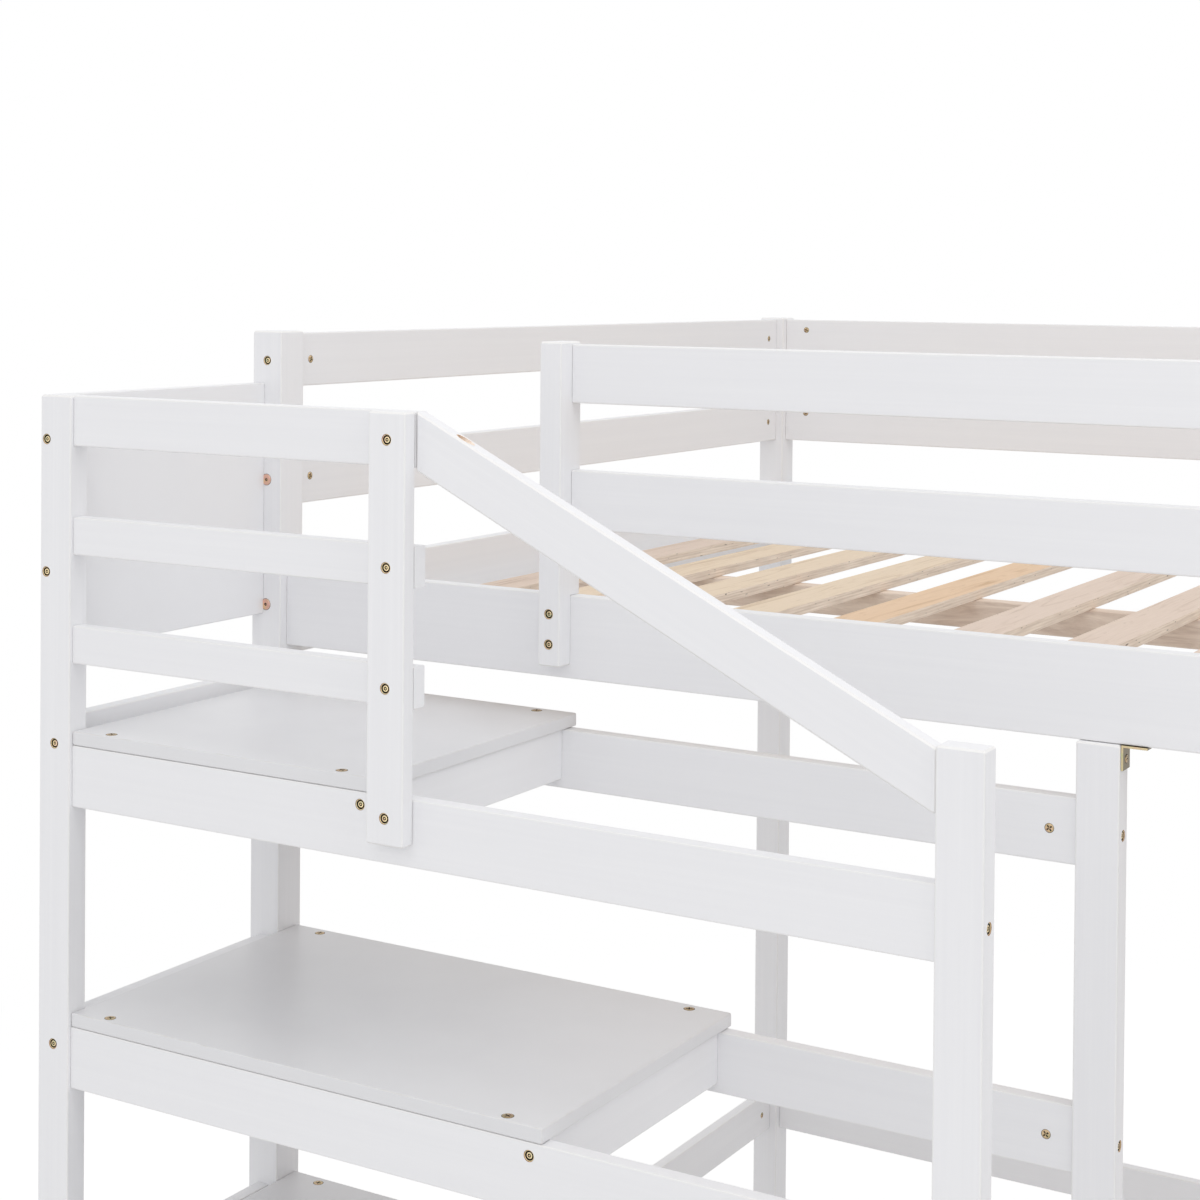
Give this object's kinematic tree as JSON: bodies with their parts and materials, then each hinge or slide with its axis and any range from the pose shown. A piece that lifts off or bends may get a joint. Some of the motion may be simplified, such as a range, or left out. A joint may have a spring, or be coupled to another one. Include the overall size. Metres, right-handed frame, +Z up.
{
  "type": "loft bed with shelf steps",
  "caption": "Loft bed on tall posts with a slatted base, guard rails and an entry gap, reached by open shelf steps with a landing, a side panel and a sloping handrail.",
  "frame": {"origin": "on the floor, under the middle of the whole piece's outline", "axes": "+X along the bed, away from the landing; +Y from the steps' side to the back; +Z up"},
  "size_m": [1.98, 1.825, 1.648],
  "materials": {
    "white_paint": "satin white paint over solid pine, eased edges",
    "white_board": "satin white paint over smooth board",
    "bare_wood": "bare light plywood, sanded",
    "yellow_zinc": "yellow zinc plate"
  },
  "bodies": {
    "root": {"corner_post_front_left": "white_paint", "corner_post_back_left": "white_paint", "corner_post_front_right": "white_paint", "corner_post_back_right": "white_paint", "side_rail_front": "white_paint", "side_rail_back": "white_paint", "low_rail_back": "white_paint", "low_rail_left": "white_paint", "low_rail_right": "white_paint", "end_rail_left": "white_paint", "end_rail_right": "white_paint", "guard_rail_back_top": "white_paint", "guard_rail_back_low": "white_paint", "guard_rail_front_top": "white_paint", "guard_rail_front_low": "white_paint", "guard_rail_left_top": "white_paint", "guard_rail_left_low": "white_paint", "guard_rail_right_top": "white_paint", "guard_rail_right_low": "white_paint", "entry_post": "white_paint", "slat_ledger_front": "bare_wood", "slat_ledger_back": "bare_wood", "slat_1": "bare_wood", "slat_2": "bare_wood", "slat_3": "bare_wood", "slat_4": "bare_wood", "slat_5": "bare_wood", "slat_6": "bare_wood", "slat_7": "bare_wood", "slat_beam_and_far_slats": "bare_wood", "stair_post_head": "white_paint", "stair_post_foot_front": "white_paint", "stair_post_foot_back": "white_paint", "landing_post": "white_paint", "handrail": "white_paint", "landing_rail_top": "white_paint", "landing_rail_middle": "white_paint", "landing_rail_low": "white_paint", "landing_side_panel": "white_board", "step_board_1": "white_board", "step_board_2": "white_board", "step_board_3": "white_board", "step_board_4": "white_board", "step_rail_front_1": "white_paint", "step_rail_front_2": "white_paint", "step_rail_front_3": "white_paint", "step_rail_front_4": "white_paint", "step_rail_back_1": "white_paint", "step_rail_back_2": "white_paint", "step_rail_back_3": "white_paint", "step_rail_back_4": "white_paint", "cross_rail_left_1": "white_paint", "cross_rail_left_2": "white_paint", "cross_rail_left_3": "white_paint", "cross_rail_left_4": "white_paint", "cross_rail_right_1": "white_paint", "cross_rail_right_2": "white_paint", "cross_rail_right_3": "white_paint", "cross_rail_right_4": "white_paint", "corner_bracket": "yellow_zinc"}
  },
  "joints": []
}
